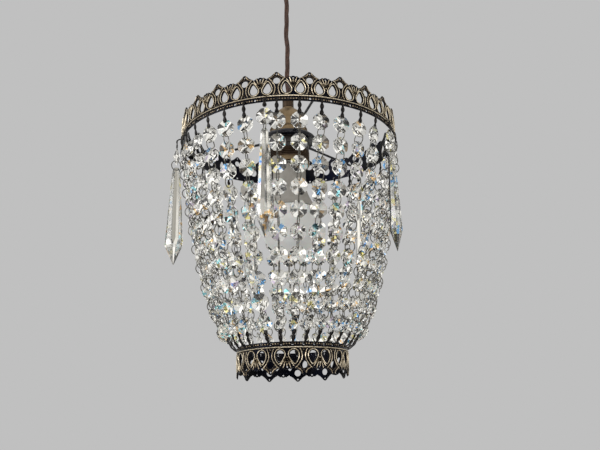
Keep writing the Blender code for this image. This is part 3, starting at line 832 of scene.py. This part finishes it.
def prism_drop(number, hole, edge_z, materials):
    """An octagon bead, a ring and a long prism, which swing from the foot of their own pin."""
    angle = top_hole_angle(hole)
    out, side = outward(angle), sideways(angle)
    line = out * PRISM_HANG_RADIUS + UP * edge_z
    shape = Shape()
    bead = line + UP * PRISM_BEAD_Z
    octagon_bead(shape, bead, *jitter(side, -UP, out, radians(2)))
    low = PRISM_BEAD_Z - BEAD_HOLE
    high = PRISM_TOP_Z - 2.2 * MM
    across = Matrix.Rotation(radians(24), 3, UP) @ out
    ring_size = low - high + 2 * RING_WIRE
    jump_ring(shape, line + UP * (low + high) / 2, -UP, across, ring_size, ring_size)
    around = Matrix.Rotation(PRISM_TURNS[number], 3, UP)
    top = line + UP * PRISM_TOP_Z
    long_prism(shape, top, around @ side, around @ out, PRISM_MIDDLE_PAINTED_SHADE[number])
    item = shape.build(f"prism_{number + 1}_crystal", materials, smooth=20, tinted=True)
    stands_for(item, f"prism_drop_{number + 1}", f"prism_{number + 1}")


def prism_hook(number, hole, edge_z, material):
    """The bent pin that carries a prism clear of the strands."""
    angle = top_hole_angle(hole)
    out, side = outward(angle), sideways(angle)
    hole_z = edge_z + HOLE_INSET * MM
    bend = out * PRISM_HANG_RADIUS + UP * hole_z
    shape = Shape()
    line = [
        out * (TOP_RADIUS - HOOK_IN) + UP * hole_z,
        out * (TOP_RADIUS + 2.6 * MM) + UP * (hole_z + 0.2 * MM),
        bend - UP * 1.6 * MM,
        bend - UP * 5 * MM,
        bend - UP * (PRISM_PIN_LENGTH - 0.4 * MM),
    ]
    waisted_pin(shape, line, side, slot=0)
    item = shape.build(f"prism_hook_{number + 1}", [material], smooth=40)
    stands_for(item, f"prism_pin_{number + 1}", "pendant")


# --- Turned parts ---


def extent(node):
    """The z of a node's top and its height, both in millimetres."""
    low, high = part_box(node)
    return high.z / MM, (high.z - low.z) / MM


def turned_piece(name, node, body, profile, material, steps=64, smooth=35):
    """A lathe piece that stands for a CAD node. profile's depths are from the node's top."""
    shape = Shape()
    lathe(shape, extent(node)[0], profile, steps)
    return stands_for(shape.build(name, [material], smooth), node, body)


def arc(centre_r, depth, radius, first, last, count=6):
    """Points of a round stretch of a profile, in degrees from outward towards up."""
    steps = [radians(first + (last - first) * k / count) for k in range(count + 1)]
    return [(centre_r + radius * cos(a), depth - radius * sin(a)) for a in steps]


def ceiling_rose(brass, iron):
    """A domed rose with a stepped rim, a screw on each side and a black bushing below."""
    top, tall = extent("ceiling_rose")
    profile = [(0, 0), (30.6, 0), (31, 0.4), (31, 2.4)] + arc(29.4, 2.6, 1.6, 0, -80, 4)
    profile += [(28.6, 4.6), (27.2, 5.0), (25.4, 8.2), (21.6, 12.2), (16.0, 16.0), (11.6, 18.4)]
    profile += [(10.6, 19.6), (9.6, tall - 0.3), (9.0, tall), (0, tall)]
    shape = Shape()
    lathe(shape, top, profile, 72)
    screw = [(0, 0), (2.4, 0), (2.4, 2.4), (1.5, 3.2), (0, 3.4)]
    for x in (20 * MM, -20 * MM):
        lathe(shape, top - 12.0, screw, 20, centre=(x, 0))
    rose = shape.build("rose_dome", [brass], smooth=40)
    stands_for(rose, "ceiling_rose", "rose")
    tall = extent("rose_cord_grip")[1]
    profile = [(3.2, 0), (7.2, 0), (7.2, 1.0), (6.6, 1.5), (7.2, 2.0), (7.2, 3.4)]
    profile += [(6.2, tall - 0.8), (5.6, tall), (4.4, tall), (3.2, 1.2)]
    grip = turned_piece("rose_bushing", "rose_cord_grip", "rose", profile, iron, 40)
    return rose, grip


def lampholder(brass, dark_brass, bakelite, ceramic):
    """Cord grip, bell cap, sleeve, socket floor and shade ring, each a turned piece."""
    tall = extent("cord_grip")[1]
    neck = [(2.9, 0), (3.9, 0), (4.6, 0.6), (5.0, 1.6), (5.6, 2.2), (5.6, 5.0), (5.1, 5.4), (5.1, 5.9)]
    neck += [(5.6, 6.3), (5.6, tall - 0.4), (5.3, tall), (2.9, tall)]
    turned_piece("flex_grip", "cord_grip", "pendant", neck, dark_brass, 48)

    tall = extent("lampholder_cap")[1]
    bell = [(3.4, 0), (6.0, 0)] + arc(6.0, 0.8, 0.8, 90, 0, 3)
    bell += [(7.0, 1.6), (8.6, 2.4), (10.4, 3.6), (12.2, 5.6), (13.8, 8.6), (15.2, 12.0), (16.3, 15.4)]
    bell += [(17.1, 19.0), (17.5, 22.4)] + arc(17.5, 23.9, 1.15, 70, -70, 6)
    bell += [(17.8, 25.6), (17.9, 27.4), (18.2, 28.0), (18.2, 29.0), (17.9, tall - 1.4), (17.9, tall)]
    bell += [(16.5, tall), (16.2, 22.0), (14.8, 15.4), (12.3, 9.0), (9.6, 5.2), (3.4, 3.4)]
    turned_piece("bell_cap", "lampholder_cap", "pendant", bell, brass, 72)

    top, tall = extent("lampholder_body")
    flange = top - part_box("spider_hub")[0].z / MM + 0.3
    sleeve = [(13.6, 0), (15.2, 0), (15.6, 0.4), (15.6, flange), (19.4, flange), (19.6, flange + 0.4)]
    for depth in (3.0, 7.0):
        sleeve += [(19.6, flange + depth), (18.9, flange + depth + 0.4)]
        sleeve += [(18.9, flange + depth + 1.0), (19.6, flange + depth + 1.4)]
    sleeve += [(19.6, flange + 10.6), (19.2, flange + 11.0), (16.0, flange + 11.0)]
    sleeve += [(16.0, tall - 0.4), (15.7, tall), (13.9, tall), (13.6, tall - 0.4)]
    turned_piece("sleeve", "lampholder_body", "pendant", sleeve, bakelite, 64)

    tall = extent("socket_insert")[1]
    floor = [(0, 0), (13.0, 0), (13.3, 0.4), (13.3, tall - 3.7), (12.0, tall - 3.7)]
    floor += [(11.6, tall - 4.6), (7.0, tall - 4.6), (6.6, tall - 3.7), (4.2, tall - 3.7)]
    floor += [(3.8, tall - 1.2), (2.6, tall - 0.1), (0, tall)]
    turned_piece("socket_floor", "socket_insert", "pendant", floor, ceramic, 48)

    top, tall = extent("shade_ring")
    ring = [(16.3, 0), (19.4, 0), (19.9, 0.5)]
    for k in range(4):
        depth = 1.2 + k * 1.75
        ring += [(19.9, depth), (19.15, depth + 0.45), (19.15, depth + 0.75), (19.9, depth + 1.2)]
    ring += [(19.9, 8.6), (19.2, 9.0), (16.3, 9.0)]
    lip = [(16.3, 8.9), (19.3, 8.9), (19.3, 9.8), (19.9, 10.4), (19.9, tall - 1.0)]
    lip += arc(18.9, tall - 1.0, 1.0, 0, -90, 4) + [(16.3, tall)]
    shape = Shape()
    lathe(shape, top, ring)
    lathe(shape, top, lip, slot=1)
    item = shape.build("ridged_shade_ring", [dark_brass, brass])
    stands_for(item, "shade_ring", "shade_ring")


def spider(iron, edge_z):
    """The black disc with a rolled rim, and three round rods, thicker at their ends, to the upper band."""
    top, tall = extent("spider_hub")
    disc = [(16.0, 0), (23.6, 0), (24.2, 0.5)] + arc(24.5, tall / 2, 2.0, 80, -80, 8)
    disc += [(24.2, tall - 0.5), (23.4, tall - 1.1), (21.0, tall - 1.3), (17.6, tall - 1.3)]
    disc += [(17.0, tall), (16.0, tall)]
    turned_piece("hub_disc", "spider_hub", "pendant", disc, iron, 72)
    radii = [1.6 * MM, 1.25 * MM] + [1.15 * MM] * 9 + [1.25 * MM, 1.6 * MM]
    for number in range(3):
        angle = FIRST_ARM + number * 2 * pi / 3
        out = outward(angle)
        start = out * 26.8 * MM + UP * (top - tall / 2) * MM
        end = out * (TOP_RADIUS - 1.1 * MM) + UP * (edge_z + 4.6 * MM)
        shape = Shape()
        tube(shape, [start.lerp(end, k / 12) for k in range(13)], radii, 14, wide=sideways(angle))
        item = shape.build(f"arm_rod_{number + 1}", [iron], smooth=40)
        stands_for(item, f"spider_arm_{number + 1}", "pendant")


def lamp(cap_material, collar_material, globe_material):
    """Screw cap with its rolled thread and contact, flared collar and frosted globe."""
    top, tall = extent("bulb_cap")
    shape = Shape()
    steps, rows = 48, 44
    shell_top, shell_foot = 5.4, tall - 1.2  # below the cap's top
    verts = []
    for row in range(rows + 1):
        z = (top - shell_top - (shell_foot - shell_top) * row / rows) * MM
        fade = min(1.0, 6 * row / rows, 6 * (rows - row) / rows)
        for k in range(steps):
            angle = 2 * pi * k / steps
            wave = 0.5 + 0.5 * cos(2 * pi * z / THREAD_PITCH - angle)
            radius = (12.2 + 0.75 * wave * fade) * MM
            verts.append((radius * cos(angle), radius * sin(angle), z))
    faces = quads(rows + 1, steps)
    faces += [list(range(steps)), list(range(rows * steps, (rows + 1) * steps))]
    shape.add(verts, faces)
    tip = [(0, 0), (4.0, 0), (4.6, 0.6), (4.8, 1.6), (10.6, 3.6), (12.1, shell_top + 0.2)]
    lathe(shape, top, [*tip, (0, shell_top + 0.2)], steps)
    foot = [(0, shell_foot - 0.2), (12.6, shell_foot - 0.2), (13.0, tall - 0.8), (13.0, tall), (0, tall)]
    lathe(shape, top, foot, steps)
    item = shape.build("screw_cap", [cap_material], smooth=40)
    stands_for(item, "bulb_cap", "bulb")

    tall = extent("bulb_collar")[1]
    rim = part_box("bulb_collar")[1].x / MM
    neck = 15.8
    collar = [(0, 0), (13.4, 0), (neck - 0.6, 0.2), (neck, 0.9)]
    flare_top = 0.42 * tall
    for k in range(15):
        t = k / 14
        collar.append((neck + (rim - neck) * t**1.75, flare_top + (tall - 0.7 - flare_top) * t))
    collar += [(rim - 0.1, tall - 0.2), (rim - 0.6, tall), (0, tall)]
    turned_piece("flared_collar", "bulb_collar", "bulb", collar, collar_material, 72)

    tall = extent("bulb_globe")[1]
    low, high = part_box("bulb_globe")
    radius = (high.x - low.x) / 2 / MM
    seat = tall - radius  # the seat's height over the globe's middle
    globe = [(0, 0), (sqrt(radius**2 - seat**2) - 0.6, 0)]
    first = atan2(seat - 0.5, sqrt(radius**2 - (seat - 0.5) ** 2))
    for k in range(31):
        angle = first + (-pi / 2 - first) * k / 31
        globe.append((radius * cos(angle), seat - radius * sin(angle)))
    globe.append((0, tall))
    turned_piece("frosted_globe", "bulb_globe", "bulb", globe, globe_material, 72, 60)


def flex(rose, grip, material):
    """Three covered cores twisted together, taut from the lampholder's grip up to the rose."""
    low, high = (v.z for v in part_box("flex_cord"))
    count = 70
    path = []
    for k in range(count + 1):
        z = low + (high - low) * k / count
        ease = min(1.0, (high - z) / FLEX_EASE, (z - low) / FLEX_EASE)
        turn = 2 * pi * (z - FLEX_SWAY_START) / FLEX_SWAY_PITCH
        path.append(Vector((cos(turn), sin(turn), 0)) * FLEX_SWAY * ease + UP * z)
    shape = Shape()
    sides = 12
    weave = []
    for core in range(3):
        centres = []
        for k, place in enumerate(path):
            angle = 2 * pi * (place.z / TWIST_PITCH + core / 3)
            centres.append(place + Vector((cos(angle), sin(angle), 0)) * TWIST_RADIUS)
            weave += [(j, k * (high - low) / count / MM * 1.4, 0) for j in range(sides)]
        tube(shape, centres, [CORE_RADIUS] * len(centres), sides)
    item = stands_for(shape.build("twisted_flex", [material], 50), "flex_cord", "pendant")
    marks = item.data.attributes.new("weave", "FLOAT_VECTOR", "POINT")
    marks.data.foreach_set("vector", np.ravel(weave))


# --- Studio ---


def floor():
    """A pale round floor, well below the light."""
    rim = [(x, y, FLOOR_Z) for x, y in ring_of(0, 0, FLOOR_RADIUS, 64)]
    mesh = bpy.data.meshes.new("floor")
    mesh.from_pydata(rim, [], [list(range(len(rim)))])
    item = placed("floor", mesh)
    n = Finish("studio_floor", Roughness=0.8)
    n.set("Base Color", n.ramp(n.noise(3, 2), [(0.3, (0.60, 0.60, 0.595)), (0.7, (0.63, 0.63, 0.625))]))
    mesh.materials.append(n.material)


def room():
    """A grey room, plain to the camera, with broad light and dark patches for the crystals to show."""
    world = bpy.data.worlds.new("studio")
    bpy.context.scene.world = world
    world.use_nodes = True
    world.node_tree.nodes.clear()
    n = Nodes(world.node_tree, "Generated")
    stops = [(0.0, (0.012, 0.012, 0.015)), (0.33, (0.02, 0.02, 0.024)), (0.34, (0.44, 0.44, 0.43))]
    stops += [(0.46, (0.62, 0.62, 0.60)), (0.47, (0.84, 0.83, 0.80)), (0.59, (0.96, 0.95, 0.91))]
    stops += [(0.60, (1.35, 1.33, 1.28))]
    lit = n.add("Background", {"Color": n.ramp(n.noise(2.6, 0.0, rough=0.5), stops)})
    shown = n.add("Background", {"Color": (0.527, 0.527, 0.527)})
    seen = n.add("LightPath").outputs["Is Camera Ray"]
    surface = n.choose(seen, lit.outputs["Background"], shown.outputs["Background"])
    n.add("OutputWorld", {"Surface": surface})


def studio():
    """A pale floor, a soft grey room and three soft lights."""
    floor()
    room()
    middle = Vector((0, 0, -0.28))
    key, side, low = ((-1.3, -0.7, 0), 0.7, 7), ((1.1, -0.8, -0.5), 0.8, 1.2), ((0, -0.7, -1.1), 0.6, 2)
    for place, size, power in (key, side, low):
        light = bpy.data.lights.new("softbox", "AREA")
        light.energy = power
        light.size = size
        item = placed("softbox", light)
        item.location = place
        item.visible_transmission = False
        item.rotation_euler = (middle - Vector(place)).to_track_quat("-Z", "Y").to_euler()
    bpy.context.scene.view_settings.view_transform = "Standard"


def camera():
    """The photograph's view: from below, on the light's front."""
    eye = Vector((0, -0.6127, -0.4741))
    target = Vector((0.00925, 0, -0.2920))
    roll = -0.02236
    focal_share = 676.6 / 600  # focal length as a share of the picture's width
    ahead = (target - eye).normalized()
    right = ahead.cross(UP).normalized()
    top = right.cross(ahead)
    right, top = right * cos(roll) + top * sin(roll), top * cos(roll) - right * sin(roll)
    data = bpy.data.cameras.new("camera")
    data.sensor_width = 36
    data.lens = focal_share * data.sensor_width
    data.clip_start = 0.01
    item = placed("camera", data)
    item.matrix_world = Matrix.Translation(eye) @ Matrix((right, top, -ahead)).transposed().to_4x4()
    bpy.context.scene.camera = item


def main():
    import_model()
    camera()
    top_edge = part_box("top_band")[0].z
    bottom_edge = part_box("bottom_band")[1].z
    brass = dull_brass("bell_brass", (0.17, 0.118, 0.066), (0.28, 0.205, 0.122))
    dark_brass = dull_brass("dark_brass", (0.03, 0.021, 0.016), (0.09, 0.062, 0.041))
    iron = black_iron()
    pins = pin_metal()
    flex(*ceiling_rose(brass, iron), braid())
    bakelite = moulded("black_bakelite", (0.012, 0.010, 0.009), (0.035, 0.027, 0.022), (0.3, 0.45))
    ceramic = moulded("white_ceramic", (0.72, 0.71, 0.67), (0.82, 0.81, 0.77), (0.15, 0.3))
    lampholder(brass, dark_brass, bakelite, ceramic)
    spider(iron, top_edge)
    # The collar's grey is partly its own plastic and partly painted shade.
    grey = moulded("grey_collar_plastic", (0.25, 0.235, 0.21), (0.33, 0.31, 0.285), (0.45, 0.6))
    shell = clouded("nickel_cap", 160, (0.50, 0.49, 0.46), (0.74, 0.73, 0.70), (0.22, 0.36), 4, Metallic=1.0)
    lamp(shell, grey, opal())
    pattern = Pattern()
    loops = [pattern.outline, *pattern.openings]
    grid = [Vector((-12.5 + i * 2.5, 1.3 + j * 2.6)) for i in range(11) for j in range(10)]
    sheets = fill(loops, pattern.free_points(), 0.28), fill(loops, grid, 0.6)
    filigree = filigree_brass()
    band("top_band", pattern, sheets, TOP_RADIUS, TOP_REPEATS, top_edge, 1, top_hole_angle(1), filigree)
    bottom = (BOTTOM_RADIUS, BOTTOM_REPEATS, bottom_edge, -1, bottom_hole_angle(0))
    band("bottom_band", pattern, sheets, *bottom, filigree)
    dark, light = (0.07, 0.065, 0.055), (0.22, 0.21, 0.185)
    rings = clouded("ring_nickel", 500, dark, light, (0.2, 0.36), Metallic=1.0)
    materials = [crystal("cut_crystal", 0.0), rings, pins]
    top_z = top_edge + HOLE_INSET * MM
    bottom_z = bottom_edge - HOLE_INSET * MM
    for number, hole in enumerate(strand_holes()):
        crystal_strand(number, hole, top_z, bottom_z, materials)
    materials[2] = crystal("prism_crystal", 0.1)
    for number, hole in enumerate(PRISM_HOLES):
        prism_hook(number, hole, top_edge, pins)
        prism_drop(number, hole, top_edge, materials)
    studio()


main()
